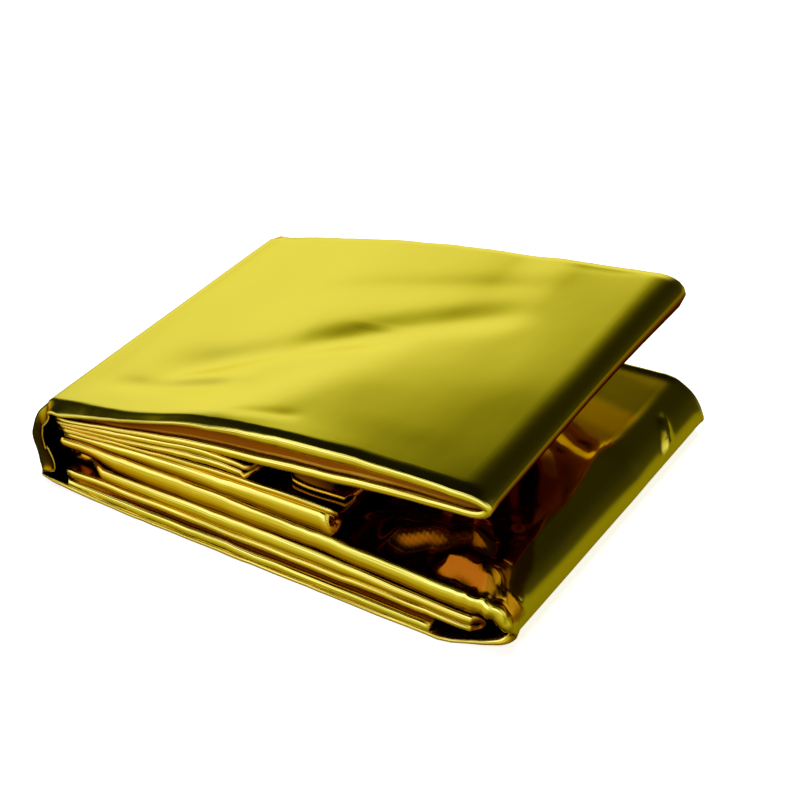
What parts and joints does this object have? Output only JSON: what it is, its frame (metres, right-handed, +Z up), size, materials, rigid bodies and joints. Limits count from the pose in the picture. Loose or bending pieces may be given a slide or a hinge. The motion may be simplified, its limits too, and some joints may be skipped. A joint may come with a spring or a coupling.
{
  "type": "folded emergency foil blanket",
  "caption": "Folded packet of gold metallised film, its layers fanned at the edge and its top flap standing half open.",
  "frame": {"origin": "middle of the footprint, on the surface that the packet lies on", "axes": "+X from the folded spine to the open mouth, +Y from the near edges to the far edges, +Z up"},
  "size_m": [0.125, 0.0994, 0.0434],
  "materials": {
    "gold_film": "glossy gold metallised polyester film, lightly crinkled"
  },
  "bodies": {
    "root": {"blanket": "gold_film"}
  },
  "joints": []
}
